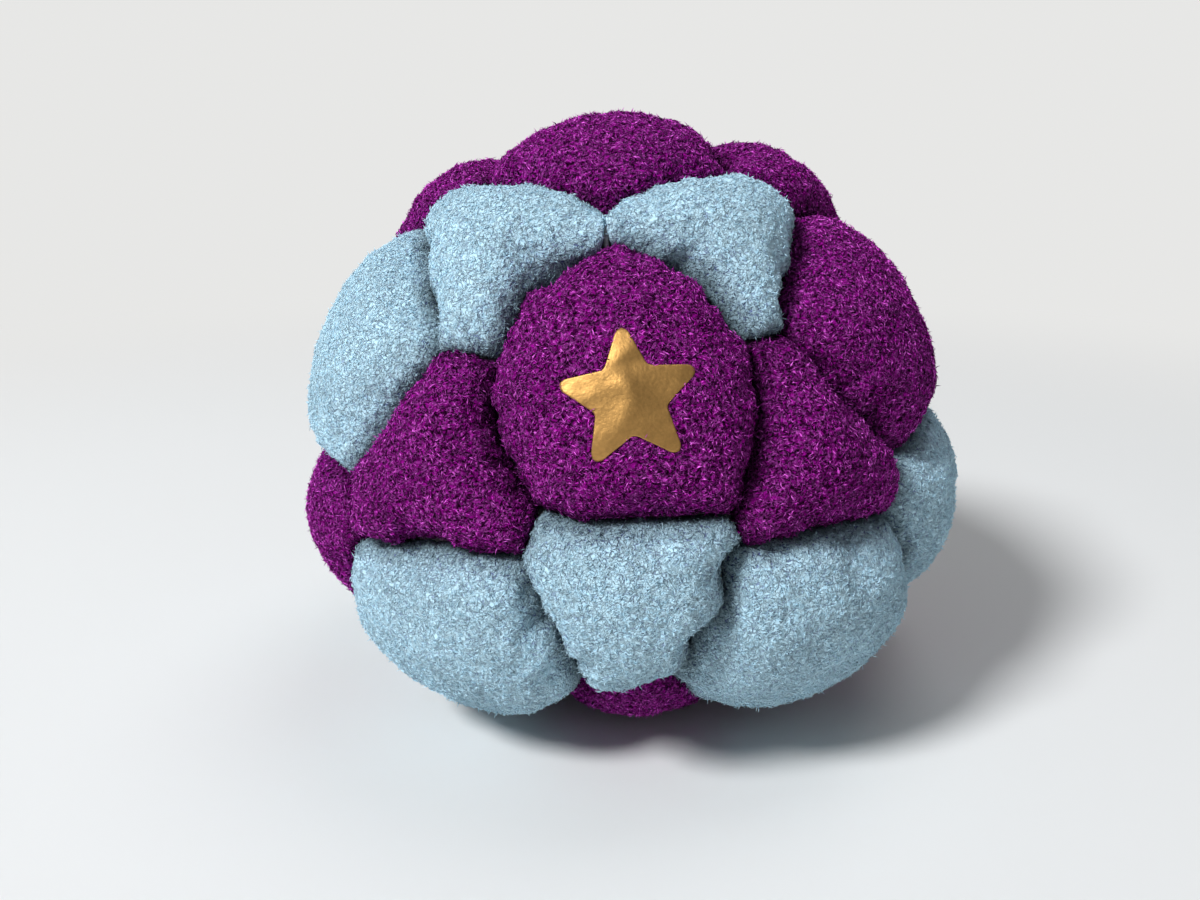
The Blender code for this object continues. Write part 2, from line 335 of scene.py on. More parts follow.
# Each lamp's place, size, power and colour
LAMPS = {
    "key": ((-0.56, -0.48, 0.74), 0.26, 11.0, (0.96, 0.98, 1.0)),
    "top": ((0.12, 0.10, 0.50), 0.30, 0.5, (0.95, 0.97, 1.0)),
}
lit_level = 0.02
camera_place = (-0.00244, -0.0898, 0.0465)
camera_tilt = math.radians(90 - 17.27)
camera_lens = 33.2
camera_sensor = 36.0


def aim(azimuth, latitude):
    """A direction. Azimuth 0 is the front and grows to the right."""
    across = math.cos(latitude)
    return Vector((math.sin(azimuth) * across, -math.cos(azimuth) * across, math.sin(latitude)))


def round_panel_aims():
    """The twelve directions in which the five-sided panels face, by panel name."""
    turn = (
        Matrix.Rotation(nod_angle, 3, "X")
        @ Matrix.Rotation(lean_angle, 3, "Y")
        @ Matrix.Rotation(spin_angle, 3, "Z")
    )
    step = math.tau / len(SHOULDER)
    aims = {TOP: Vector((0, 0, 1)), BOTTOM: Vector((0, 0, -1))}
    for i, name in enumerate(SHOULDER):
        aims[name] = aim(i * step, shoulder_latitude)
    for i, name in enumerate(HIP):
        aims[name] = aim((i + 0.5) * step, -shoulder_latitude)
    return {name: turn @ direction for name, direction in aims.items()}


def three_round_neighbours():
    """For each six-sided panel, the three five-sided panels that it lies between."""
    between = {}
    for i in range(len(SHOULDER)):
        after = (i + 1) % len(SHOULDER)
        between[CROWN[i]] = (TOP, SHOULDER[i], SHOULDER[after])
        between[WAIST[i]] = (SHOULDER[i], HIP[i], SHOULDER[after])
        between[BELLY[i]] = (SHOULDER[i], HIP[i - 1], HIP[i])
        between[FOOT[i]] = (BOTTOM, HIP[after], HIP[i])
    return between


def corner(aims, near, far):
    """Where three panels meet, on the way from one five-sided panel to the next."""
    even = aims[near].lerp(aims[far], corner_share).normalized()
    right = Vector((0, 0, 1)).cross(even).normalized()
    up = even.cross(right)
    right_share, up_share = corner_shift_shares.get((near, far), (0.0, 0.0))
    return (even + right * right_share + up * up_share).normalized()


def drifted(direction):
    """A point of a seam as it is sewn by hand, a little beside its pattern."""
    wander = noise.noise_vector(direction * (half_width / drift_size))
    return (direction + wander * (drift_reach / half_width)).normalized()


def long_seam(aims, panel, first, last):
    """Points along a five-sided panel's side, from its corner by one neighbour to the next."""
    beyond = next(name for name, three in BETWEEN.items() if set(three) == {panel, first, last})
    share = side_bow_shares.get((panel, beyond), bow_share)
    start, end = corner(aims, panel, first), corner(aims, panel, last)
    outward = ((start + end) / 2 - aims[panel]).normalized()
    bow = outward * (end - start).length * share
    bends = [*side_bends.get((panel, first, last), [])]
    bends += [(1 - at, move) for at, move in side_bends.get((panel, last, first), [])]
    seam = []
    for i in range(long_seam_steps):
        t = i / long_seam_steps
        point = start.lerp(end, t) + bow * math.sin(math.pi * t)
        for at, move in bends:
            point += outward * (move / half_width * math.exp(-(((t - at) / bend_width_share) ** 2)))
        seam.append(drifted(point.normalized()))
    return seam


def tuck_points(aims):
    """Where on the seams the tucks are."""
    sides = {side[:3] for side in tucks}
    seams = {side: long_seam(aims, *side) for side in sides}
    spots = [seams[side[:3]][round(side[3] * long_seam_steps)] for side in tucks]
    return np.array([spot[:] for spot in spots])


def short_seam(aims, near, far):
    """Points along the seam of two six-sided panels, between two five-sided ones."""
    start, end = corner(aims, near, far), corner(aims, far, near)
    seam = [start.lerp(end, i / short_seam_steps).normalized() for i in range(short_seam_steps)]
    return [drifted(point) for point in seam]


def round_outline(aims, name):
    """Directions round a five-sided panel, anticlockwise seen from outside."""
    centre = aims[name]
    closest = sorted(aims, key=lambda other: -centre.dot(aims[other]))[1:6]
    side = aims[closest[0]] - centre * centre.dot(aims[closest[0]])
    side.normalize()
    up = centre.cross(side)
    closest.sort(key=lambda other: math.atan2(aims[other].dot(up), aims[other].dot(side)))
    outline = []
    for i, first in enumerate(closest):
        outline += long_seam(aims, name, first, closest[(i + 1) % len(closest)])
    return outline


def six_sided_outline(aims, three):
    """Directions round a six-sided panel, anticlockwise seen from outside."""
    a, b, c = three
    if aims[a].dot(aims[b].cross(aims[c])) < 0:
        b, c = c, b
    outline = []
    for before, here, after in ((c, a, b), (a, b, c), (b, c, a)):
        outline += long_seam(aims, here, before, after)
        outline += short_seam(aims, here, after)
    return outline


def unit(directions):
    """The directions as vectors of length 1."""
    return directions / np.linalg.norm(directions, axis=1, keepdims=True)


def reach_of_half(directions, half_height):
    """How far half an ellipsoid of that height, seen from the heart of the bag, reaches."""
    across = np.hypot(directions[:, 0], directions[:, 1]) / half_width
    steepness = directions[:, 2] / half_height
    start = (heart_height - widest_level) / half_height
    square = across**2 + steepness**2
    return (np.sqrt((steepness * start) ** 2 + square * (1 - start**2)) - steepness * start) / square


def envelope(directions):
    """How far the crown of a panel in each direction is from the heart of the bag."""
    above = reach_of_half(directions, rise_above_widest)
    below = reach_of_half(directions, drop_below_widest)
    return np.where(heart_height + above * directions[:, 2] >= widest_level, above, below)


def seam_rise(directions):
    """How much less deep than the others the shallow seam lies."""
    near_end, far_end = corner(aims, *shallow_seam), corner(aims, *reversed(shallow_seam))
    middle = np.array(near_end.lerp(far_end, shallow_share).normalized())
    near = np.linalg.norm(directions - middle, axis=1) * half_width
    return shallow_rise * np.exp(-((near / shallow_reach) ** 2))


def groove_radius(directions):
    """How far the bottom of the grooves is from the heart of the bag."""
    return envelope(directions) - puff_rise - crown_rise + seam_rise(directions)


def way_across(x, y):
    """How far out from the middle of the square each point lies, and how far round it."""
    out = np.maximum(np.abs(x), np.abs(y))
    wide = np.abs(x) >= np.abs(y)
    along, to_side = np.where(wide, y, -x), np.where(wide, x, y)
    slope = np.divide(along, to_side, out=np.zeros_like(x), where=out > 0)
    quarter = np.where(wide, np.where(x > 0, 0.0, 0.5), np.where(y > 0, 0.25, 0.75))
    return out, (quarter + slope / 8) % 1.0


def mesh_from(builder, name):
    """The mesh that a builder has put together."""
    mesh = bpy.data.meshes.new(name)
    builder.to_mesh(mesh)
    builder.free()
    return mesh


def cut_cloth(segments):
    """A square of cloth. Past its edge lie the turned-in edge, the inner face and its middle."""
    builder = bmesh.new()
    builder.loops.layers.uv.new("OFBake")
    bmesh.ops.create_grid(builder, x_segments=segments, y_segments=segments, size=1.0, calc_uvs=True)
    for _ in range(3):
        edges = [edge for edge in builder.edges if edge.is_boundary]
        made = bmesh.ops.extrude_edge_only(builder, edges=edges)["geom"]
        ring = [part for part in made if isinstance(part, bmesh.types.BMVert)]
        bmesh.ops.scale(builder, vec=(square_growth, square_growth, 1.0), verts=ring)
    edges = [edge for edge in builder.edges if edge.is_boundary]
    back = bmesh.ops.contextual_create(builder, geom=edges)["faces"]
    middle = bmesh.ops.poke(builder, faces=back)["verts"]
    bmesh.ops.translate(builder, vec=(square_growth**4, 0.0, 0.0), verts=middle)
    return mesh_from(builder, "cloth")


def coordinates(mesh):
    """The places of a mesh's points, one row each."""
    values = np.empty(len(mesh.vertices) * 3)
    mesh.vertices.foreach_get("co", values)
    return values.reshape(-1, 3)


def place_points(mesh, points):
    """Moves a mesh's points to the rows of places."""
    mesh.vertices.foreach_set("co", points.ravel())
    mesh.update()


def interpolated(rim, around):
    """Directions on a closed outline at shares of the way round it, by its length."""
    closed = np.vstack([rim, rim[:1]])
    ways = np.concatenate([[0], np.cumsum(np.linalg.norm(np.diff(closed, axis=0), axis=1))])
    ways /= ways[-1]
    return np.stack([np.interp(around, ways, closed[:, k]) for k in range(3)], axis=1)


def soft_distance(directions, rim):
    """Distance to the whole outline, which stays small near its corners."""
    lengths = np.linalg.norm(np.roll(rim, -1, axis=0) - np.roll(rim, 1, axis=0), axis=1) / 2
    square = ((directions[:, None, :] - rim[None, :, :]) ** 2).sum(axis=2)
    pull = (lengths / np.maximum(square, 1e-7) ** 1.5).sum(axis=1)
    return (pull / 2) ** -0.5


def creases(points):
    """How hard the stitches pull at points on a seam, from 0 between creases to 1 in them."""
    scaled = points * (half_width / crease_pitch)
    pull = np.array([abs(noise.noise(Vector(point))) for point in scaled])
    return np.clip(1 - crease_sharpness * pull, 0, 1) ** crease_power


class Panel:
    """The cloth of one panel, with what ties each of its points to the panel's outline."""

    def __init__(self, name, mesh, outline, tucked):
        self.name = name
        self.mesh = mesh
        plan = coordinates(mesh)
        self.out, around = way_across(plan[:, 0], plan[:, 1])
        self.on_face = self.out < (1 + square_growth) / 2
        rim = np.array([point[:] for point in outline])
        self.edge = unit(interpolated(rim, around))
        self.centre = unit(rim.sum(axis=0)[None])
        self.length = np.linalg.norm(self.edge - self.centre, axis=1) * groove_radius(self.edge)
        samples = np.linspace(0, 1, 400, endpoint=False)
        crease = np.interp(around, samples, creases(interpolated(rim, samples)), period=1)

        share = np.where(self.on_face, 1 - (1 - np.minimum(self.out, 1)) ** crowding, 1.0)
        self.gap_share = sewing_gap / 2 / self.length
        share *= 1 - self.gap_share
        directions = unit(self.centre + (self.edge - self.centre) * share[:, None])
        self.far = np.zeros(len(plan))
        self.shallow = seam_rise(directions)
        inside = self.on_face & (self.out < 1)
        self.far[inside] = soft_distance(directions[inside], rim) * half_width
        rounding = 1 - np.clip(self.far / round_reach, 0, 1)
        inner_share = 1 - np.minimum(share, 1)
        rise = panel_rises.get(name, 0.0)
        self.sink = max(-rise, 0.0)
        height = start_share * (puff_rise - self.shallow) + rise
        height *= np.sqrt(1 - rounding**2)
        height += crown_rise * (1 - (1 - inner_share) ** 2)
        pull = crease_depth * crease * np.exp(-self.far / crease_reach)
        for spot in tucked:
            near = np.linalg.norm(directions - spot, axis=1) * half_width
            pull += tuck_depth * np.exp(-((near / tuck_reach) ** 2))
        height -= np.minimum(pull, turned_edge - panel_wall / 4)
        reach = groove_radius(directions) + height
        self.hide_edges(directions, reach)
        self.points = directions * reach[:, None] + (0, 0, heart_height)

    def hide_edges(self, directions, reach):
        """Turns the edges into the seam, and closes the panel with its inner face."""
        pocket = thread_width / 2 + clearance
        hidden_rings = [
            (pocket, turned_edge),
            (pocket + panel_wall, turned_edge),
            (puff_reach * 0.6, panel_wall + self.sink - puff_rise * 0.6),
        ]
        for times_grown, (inward, below) in enumerate(hidden_rings, start=1):
            ring = np.abs(self.out - square_growth**times_grown) < 0.5
            drawn_in = (self.centre - self.edge) * (slant_share * inward / self.length)[:, None]
            moved = unit(self.edge + drawn_in)
            directions[ring] = moved[ring]
            reach[ring] = groove_radius(moved[ring]) - below
        middle = self.out > 1.5 * square_growth**3
        directions[middle] = self.centre
        reach[middle] = envelope(self.centre) - self.sink - 1.8 * panel_wall

    def keep_beside_seam(self):
        """Pushes back cloth that has swollen past the seam into the next panel."""
        offset = self.points - (0, 0, heart_height)
        reach = np.linalg.norm(offset, axis=1)
        directions = offset / reach[:, None]
        side = self.edge - self.centre
        width = np.linalg.norm(side, axis=1)
        share = ((directions - self.centre) * side).sum(axis=1) / width**2
        excess = np.maximum(share - (1 - self.gap_share), 0) * self.on_face
        directions = unit(directions - side * excess[:, None])
        self.points = directions * reach[:, None] + (0, 0, heart_height)

    def rest_on_floor(self):
        level = self.points[:, 2]
        pressed = (level + np.sqrt(level**2 + floor_softness**2)) / 2
        self.points[:, 2] = np.where(self.on_face, pressed, np.maximum(level, panel_wall))


def blow_up(panels):
    """Blows all the panels up from inside as cloth that is held at the seams."""
    builder = bmesh.new()
    for panel in panels:
        place_points(panel.mesh, panel.points * model_scale)
        builder.from_mesh(panel.mesh)
    on_face = np.concatenate([panel.on_face for panel in panels])
    hidden = [vert for vert, shown in zip(builder.verts, on_face) if not shown]
    bmesh.ops.delete(builder, geom=hidden, context="VERTS")
    held = [vert.is_boundary for vert in builder.verts]
    cover = add_object("cover", mesh_from(builder, "cover"))
    group = cover.vertex_groups.new(name="held")
    group.add([i for i, is_held in enumerate(held) if is_held], 1.0, "REPLACE")
    cloth = cover.modifiers.new("cloth", "CLOTH")
    cloth.settings.quality = blow_quality
    cloth.settings.vertex_group_mass = group.name
    cloth.settings.bending_stiffness = blow_stiffness
    cloth.settings.use_pressure = True
    cloth.settings.uniform_pressure_force = blow_pressure
    cloth.settings.shrink_min = -blow_slack
    cloth.settings.shrink_max = -blow_slack
    cloth.settings.effector_weights.gravity = 0.0
    cloth.collision_settings.use_collision = False
    cloth.point_cache.frame_start = 1
    cloth.point_cache.frame_end = blow_frames
    for frame_number in range(1, blow_frames + 1):
        bpy.context.scene.frame_set(frame_number)
    depsgraph = bpy.context.evaluated_depsgraph_get()
    blown = coordinates(cover.evaluated_get(depsgraph).data) / model_scale
    bpy.data.objects.remove(cover)
    bpy.context.scene.frame_set(1)
    first = 0
    for panel in panels:
        last = first + np.count_nonzero(panel.on_face)
        moved = blown[first:last] - panel.points[panel.on_face]
        lengths = np.linalg.norm(moved, axis=1, keepdims=True)
        moved *= np.minimum(1, blow_limit / np.maximum(lengths, 1e-9))
        panel.points[panel.on_face] += moved
        first = last


def add_node(tree, kind, settings=None, feeds=None):
    """A node, with what feeds its sockets, which are named by their identifiers."""
    made = tree.nodes.new(kind)
    for name, value in (settings or {}).items():
        setattr(made, name, value)
    for name, value in (feeds or {}).items():
        socket = next(s for s in made.inputs if s.identifier == name)
        if isinstance(value, bpy.types.NodeSocket):
            tree.links.new(value, socket)
        else:
            socket.default_value = value
    return made


def maths(tree, operation, *values):
    """What a Math node makes of numbers, or of the sockets that bring them."""
    feeds = dict(zip(("Value", "Value_001", "Value_002"), values))
    return add_node(tree, "ShaderNodeMath", {"operation": operation}, feeds).outputs[0]


def vector_maths(tree, operation, *values):
    """What a Vector Math node makes of vectors. SCALE takes a vector and a number."""
    names = ("Vector", "Scale") if operation == "SCALE" else ("Vector", "Vector_001", "Vector_002")
    feeds = dict(zip(names, values))
    return add_node(tree, "ShaderNodeVectorMath", {"operation": operation}, feeds).outputs[0]


def ramped(tree, value, start, end, low=0.0, high=1.0, kind="LINEAR"):
    """A value that runs from low to high while another runs from start to end."""
    limits = {"From Min": start, "From Max": end, "To Min": low, "To Max": high}
    settings = {"interpolation_type": kind}
    return add_node(tree, "ShaderNodeMapRange", settings, {"Value": value, **limits}).outputs[0]


def mixed(tree, share, first, second):
    """A colour between two colours."""
    feeds = {"Factor_Float": share, "A_Color": first, "B_Color": second}
    return add_node(tree, "ShaderNodeMix", {"data_type": "RGBA"}, feeds).outputs[2]


def noisy(tree, scale, detail, place=None, distortion=0.0):
    """The outputs of a noise, read at the surface itself or at a given place."""
    feeds = {"Scale": scale, "Detail": detail, "Distortion": distortion}
    if place is not None:
        feeds["Vector"] = place
    return add_node(tree, "ShaderNodeTexNoise", {}, feeds).outputs


def geometry_group(name, taken, given):
    """A geometry node group, and the socket of the geometry that it takes."""
    tree = bpy.data.node_groups.new(name, "GeometryNodeTree")
    sockets(tree, {taken: "Geometry"}, {given: "Geometry"})
    return tree, add_node(tree, "NodeGroupInput").outputs[0]


def ended(tree, result):
    """The node group with the socket that it gives put out."""
    tree.links.new(result, add_node(tree, "NodeGroupOutput").inputs[0])
    return tree


def copies(tree, shape, points, rotation, sizes):
    """Copies of an object on points, each with its own turn and size."""
    source = add_node(tree, "GeometryNodeObjectInfo", {}, {"Object": shape}).outputs["Geometry"]
    feeds = {"Points": points, "Instance": source, "Rotation": rotation, "Scale": sizes}
    return add_node(tree, "GeometryNodeInstanceOnPoints", {}, feeds).outputs[0]


def sockets(tree, inputs, outputs):
    """Gives a node group its inputs and outputs, by name and kind of value."""
    for side, listed in (("INPUT", inputs), ("OUTPUT", outputs)):
        for name, kind in listed.items():
            tree.interface.new_socket(name, in_out=side, socket_type="NodeSocket" + kind)


def attribute_of(tree, name, kind="FLOAT"):
    """An attribute of the mesh that a geometry node group works on."""
    settings = {"data_type": kind}
    return add_node(tree, "GeometryNodeInputNamedAttribute", settings, {"Name": name}).outputs[0]


def relief_group():
    """Moves the cloth in and out along its normal: lumps from the fill, and tufts of the pile."""
    tree, cloth = geometry_group("suede_relief", "Cloth", "Cloth")
    heights = []
    kinds = (("room", lump_size, lump_rise, lump_detail), ("relief", tuft_size, tuft_rise, tuft_detail))
    for room, size, rise, detail in kinds:
        grain = noisy(tree, 1 / size, detail, distortion=relief_distortion)["Fac"]
        height = maths(tree, "MULTIPLY", maths(tree, "SUBTRACT", grain, 0.5), 2 * rise)
        heights.append(maths(tree, "MULTIPLY", height, attribute_of(tree, room)))
    normal = add_node(tree, "GeometryNodeInputNormal").outputs[0]
    offset = vector_maths(tree, "SCALE", normal, maths(tree, "ADD", *heights))
    moved = add_node(tree, "GeometryNodeSetPosition", {}, {"Geometry": cloth, "Offset": offset})
    return ended(tree, moved.outputs[0])


def random_value(tree, kind, lowest, highest, seed):
    """A number or a vector drawn at random for each point."""
    names = ("Min_001", "Max_001") if kind == "FLOAT" else ("Min", "Max")
    ends = dict(zip(names, (lowest, highest)))
    made = add_node(tree, "FunctionNodeRandomValue", {"data_type": kind}, {**ends, "Seed": seed})
    return made.outputs[1 if kind == "FLOAT" else 0]


def nap_group(fibre):
    """Covers the cloth with fibres that lean in clumps."""
    tree, cloth = geometry_group("suede_nap", "Cloth", "Nap")
    density = maths(tree, "MULTIPLY", attribute_of(tree, "room"), fibres_per_square_metre)
    points = add_node(
        tree, "GeometryNodeDistributePointsOnFaces", {},
        {"Mesh": cloth, "Density": density, "Seed": 3},
    ).outputs
    clumps = noisy(tree, 1 / clump_size, 1.0, distortion=clump_distortion)["Color"]
    lean = vector_maths(tree, "MULTIPLY_ADD", clumps, (2 * nap_lean,) * 3, (-nap_lean,) * 3)
    up = vector_maths(tree, "PROJECT", lean, points["Normal"])
    flat = vector_maths(tree, "SUBTRACT", lean, up)
    lifted = vector_maths(tree, "MULTIPLY_ADD", points["Normal"], (nap_lift,) * 3, flat)
    stray = random_value(tree, "FLOAT_VECTOR", (-nap_stray,) * 3, (nap_stray,) * 3, 5)
    aimed = add_node(
        tree, "FunctionNodeAlignRotationToVector", {"axis": "Z"},
        {"Vector": vector_maths(tree, "ADD", lifted, stray)},
    )
    roll = add_node(
        tree, "FunctionNodeAxisAngleToRotation", {},
        {"Axis": (0, 0, 1), "Angle": random_value(tree, "FLOAT", 0.0, math.tau, 7)},
    )
    turned = add_node(
        tree, "FunctionNodeRotateRotation", {"rotation_space": "LOCAL"},
        {"Rotation": aimed.outputs[0], "Rotate By": roll.outputs[0]},
    )
    sizes = random_value(tree, "FLOAT", *fibre_scales, 11)
    placed = copies(tree, fibre, points["Points"], turned.outputs[0], sizes)
    tinted = add_node(
        tree, "GeometryNodeStoreNamedAttribute", {"data_type": "FLOAT", "domain": "INSTANCE"},
        {"Geometry": placed, "Name": "strand", "Value": random_value(tree, "FLOAT", 0.0, 1.0, 13)},
    )
    real = add_node(tree, "GeometryNodeRealizeInstances", {}, {"Geometry": tinted.outputs[0]})
    spot = vector_maths(
        tree, "ADD", attribute_of(tree, "OFBake", "FLOAT_VECTOR"),
        attribute_of(tree, "fibre_map", "FLOAT_VECTOR"),
    )
    mapped = add_node(
        tree, "GeometryNodeStoreNamedAttribute", {"data_type": "FLOAT2", "domain": "CORNER"},
        {"Geometry": real.outputs[0], "Name": "OFBake", "Value": spot},
    )
    return ended(tree, mapped.outputs[0])


def add_object(name, mesh):
    """An object in the scene, which stands at the origin."""
    made = bpy.data.objects.new(name, mesh)
    bpy.context.scene.collection.objects.link(made)
    return made


def worked(mesh, tree, smoothing=0):
    """The mesh that a subdivision and a geometry node group make of a mesh."""
    carrier = add_object("carrier", mesh)
    if smoothing:
        smooth = carrier.modifiers.new("smooth", "SUBSURF")
        smooth.levels = smooth.render_levels = smoothing
    carrier.modifiers.new(tree.name, "NODES").node_group = tree
    depsgraph = bpy.context.evaluated_depsgraph_get()
    made = bpy.data.meshes.new_from_object(carrier.evaluated_get(depsgraph), depsgraph=depsgraph)
    bpy.data.objects.remove(carrier)
    return made


def make_fibre():
    """One fibre of the nap: a thin closed blade of four faces, bent at its widest place."""
    builder = bmesh.new()
    layer = builder.loops.layers.uv.new("fibre_map")
    bmesh.ops.create_cone(
        builder, cap_ends=True, segments=3, radius1=fibre_width / math.sqrt(3), radius2=0.0,
        depth=fibre_length * fibre_tip_share,
    )
    root, *middle = sorted(builder.verts, key=lambda vert: (vert.co.z, -vert.co.y))[:3]
    root.co = (0, 0, -fibre_length * (1 - fibre_tip_share / 2))
    bmesh.ops.translate(builder, vec=(0, -fibre_length * fibre_bend_share, 0), verts=middle)
    raised = fibre_length * (1 - fibre_tip_share / 2 - fibre_root_share)
    bmesh.ops.translate(builder, vec=(0, 0, raised), verts=builder.verts[:])
    bmesh.ops.recalc_face_normals(builder, faces=builder.faces[:])
    for face in builder.faces:
        for loop in face.loops:
            loop[layer].uv = (loop.vert.co.x / cloth_map_size, loop.vert.co.z / cloth_map_size)
    tip = builder.verts.layers.float.new("tip")
    for vert in builder.verts:
        vert[tip] = vert.co.z / fibre_length
    mesh = mesh_from(builder, "fibre")
    mesh.shade_smooth()
    return add_object("fibre", mesh)


def tone_group():
    """Colour, roughness and height of matted suede: tufts, cracks and grooves with painted shade,
    curls, painted glints and brushed patches.
    """
    tree = bpy.data.node_groups.new("suede_tone", "ShaderNodeTree")
    sockets(
        tree,
        {
            **dict.fromkeys(("Pile", "Depth", "Pale"), "Color"),
            **dict.fromkeys(("Strand", "Tip", "Far", *SUEDE_AMOUNTS), "Float"),
        },
        {"Color": "Color", "Roughness": "Float", "Height": "Float"},
    )
    start = add_node(tree, "NodeGroupInput").outputs
    place = add_node(tree, "ShaderNodeTexCoord").outputs["Object"]

    warp = noisy(tree, warp_grain, 1.0, place)["Color"]
    warped = vector_maths(tree, "MULTIPLY_ADD", warp, (warp_reach,) * 3, place)
    tufts = add_node(
        tree, "ShaderNodeTexVoronoi", {"feature": "DISTANCE_TO_EDGE"},
        {"Vector": vector_maths(tree, "MULTIPLY", warped, tuft_stretch), "Scale": tuft_grain},
    )
    parted = ramped(tree, tufts.outputs["Distance"], 0.0, start["Parting"])
    bridges = noisy(tree, bridge_grain, 1.0, place)["Fac"]
    bridged = maths(tree, "SUBTRACT", bridges, start["Bridged"])
    pile_height = maths(tree, "MAXIMUM", parted, ramped(tree, bridged, 0.0, bridge_slope))

    loops = noisy(tree, curl_grain, 1.0, warped)["Color"]
    centred = vector_maths(tree, "SUBTRACT", loops, (0.5,) * 3)
    beside = vector_maths(tree, "ABSOLUTE", centred)
    ways = add_node(tree, "ShaderNodeSeparateXYZ", {}, {"Vector": beside}).outputs
    nearest = maths(tree, "MINIMUM", ways["X"], ways["Y"])
    curls = ramped(tree, nearest, 0.0, curl_width_share, curl_height_share, 0.0)
    height = maths(tree, "MULTIPLY_ADD", pile_height, 1 - curl_height_share, curls)
    raised = maths(tree, "MULTIPLY_ADD", start["Strand"], strand_light_share, height)
    # Painted light: fibres grow lighter towards their tips, so their roots take painted shade
    lit = maths(tree, "MULTIPLY_ADD", start["Tip"], tip_painted_light_share, raised)

    # Painted shade in the cracks: darkest at the seams, lighter by Open away from them
    painted_crack_lightness = ramped(tree, start["Far"], *crack_shade_reach, 0.0, start["Open"], "SMOOTHSTEP")
    # Painted shade: low parts of the pile, its cracks, take the crack shade colour
    share = ramped(tree, lit, painted_shade_height_share, start["Full"], painted_crack_lightness)
    pile = mixed(tree, share, start["Depth"], start["Pile"])
    # Painted glints: some strands and the tops of curls turn towards the glint colour
    strand_glint = ramped(tree, start["Strand"], glint_strand_share, 1.0)
    curl_glint = ramped(tree, curls, 0.3 * curl_height_share, curl_height_share, 0.0, glint_curl_share)
    painted_glint = maths(tree, "MAXIMUM", strand_glint, curl_glint)
    stranded = mixed(tree, maths(tree, "MULTIPLY", painted_glint, start["Glint"]), pile, start["Pale"])

    fine = noisy(tree, fine_grain, 1.0, place)["Fac"]
    fine_share = maths(tree, "MULTIPLY_ADD", fine, fine_contrast, -fine_middle)
    strand_share = maths(tree, "MULTIPLY_ADD", start["Strand"], strand_contrast, fine_share)
    uneven = maths(tree, "MULTIPLY_ADD", strand_share, start["Uneven"], 1.0)
    grained = maths(tree, "MAXIMUM", uneven, darkest_grain_share)
    patches = noisy(tree, patch_grain, 2.0, place)["Fac"]
    brushed = ramped(tree, patches, 0.3, 0.7, *patch_shade_shares)
    # Painted shade in the grooves: the pile darkens towards the seams
    outer = ramped(tree, start["Far"], 0.0, groove_reach, groove_shade_share)
    shade = maths(tree, "MULTIPLY", maths(tree, "MULTIPLY", brushed, outer), grained)

    end = add_node(tree, "NodeGroupOutput").inputs
    tree.links.new(vector_maths(tree, "SCALE", stranded, shade), end["Color"])
    tree.links.new(ramped(tree, patches, 0.3, 0.7, *patch_roughness), end["Roughness"])
    tree.links.new(height, end["Height"])
    return tree


def new_material(name, colour):
    """A material with its nodes and its shader."""
    made = bpy.data.materials.new(name)
    made.use_nodes = True
    made.diffuse_color = (*colour, 1.0)
    return made, made.node_tree, made.node_tree.nodes["Principled BSDF"]


def suede(look, tone, of_nap):
    """The suede of one colour, for the cloth or for the fibres on it."""
    name, pile, depth, pale, *amounts = look
    made, tree, shader = new_material(name + ("_nap" if of_nap else ""), pile)
    shades = add_node(tree, "ShaderNodeGroup", {"node_tree": tone})
    # The second colour is painted shade for the cracks, the third that of painted glints
    for name, colour in (("Pile", pile), ("Depth", depth), ("Pale", pale)):
        shades.inputs[name].default_value = (*colour, 1.0)
    for name, value in zip(SUEDE_AMOUNTS, amounts):
        shades.inputs[name].default_value = value
    for name in ("Far", "Strand", "Tip") if of_nap else ("Far",):
        value = add_node(tree, "ShaderNodeAttribute", {"attribute_name": name.lower()})
        tree.links.new(value.outputs["Fac"], shades.inputs[name])
    if not of_nap:
        feeds = {"Height": shades.outputs["Height"], "Distance": pile_bump}
        bump = add_node(tree, "ShaderNodeBump", {}, feeds)
        tree.links.new(bump.outputs[0], shader.inputs["Normal"])
    tree.links.new(shades.outputs["Color"], shader.inputs["Base Color"])
    tree.links.new(shades.outputs["Roughness"], shader.inputs["Roughness"])
    shader.inputs["Specular IOR Level"].default_value = suede_gloss
    shader.inputs["Sheen Weight"].default_value = suede_sheen
    shader.inputs["Sheen Roughness"].default_value = sheen_roughness
    shader.inputs["Sheen Tint"].default_value = (*(c ** 0.5 for c in pile), 1.0)
    return made


def plain_material(name):
    """A finish whose colour and height vary a little over the surface."""
    colour, roughness, metallic, grain_scale, grain_height = PLAIN_FINISHES[name]
    made, tree, shader = new_material(name, colour)
    place = add_node(tree, "ShaderNodeTexCoord").outputs["Object"]
    grain = noisy(tree, grain_scale, 3.0, place)["Fac"]
    darkest, lightest = ([min(share * c, 1.0) for c in colour] for share in grain_shade_shares)
    bump = add_node(tree, "ShaderNodeBump", {}, {"Height": grain, "Distance": grain_height})
    tree.links.new(mixed(tree, grain, (*darkest, 1.0), (*lightest, 1.0)), shader.inputs["Base Color"])
    tree.links.new(bump.outputs[0], shader.inputs["Normal"])
    shader.inputs["Roughness"].default_value = roughness
    shader.inputs["Metallic"].default_value = metallic
    return made


def star_reach(angle):
    """How far out the star's rim lies at an angle from its first tip, with its points rounded."""
    step = math.pi / 5
    blunted = []
    for k in range(-tip_blunting_steps, tip_blunting_steps + 1):
        turn = (angle + tip_blunting * k) % (2 * step)
        turn = min(turn, 2 * step - turn)
        across = star_notch_radius * math.sin(step - turn) + star_radius * math.sin(turn)
        blunted.append(star_radius * star_notch_radius * math.sin(step) / across)
    return sum(blunted) / len(blunted)


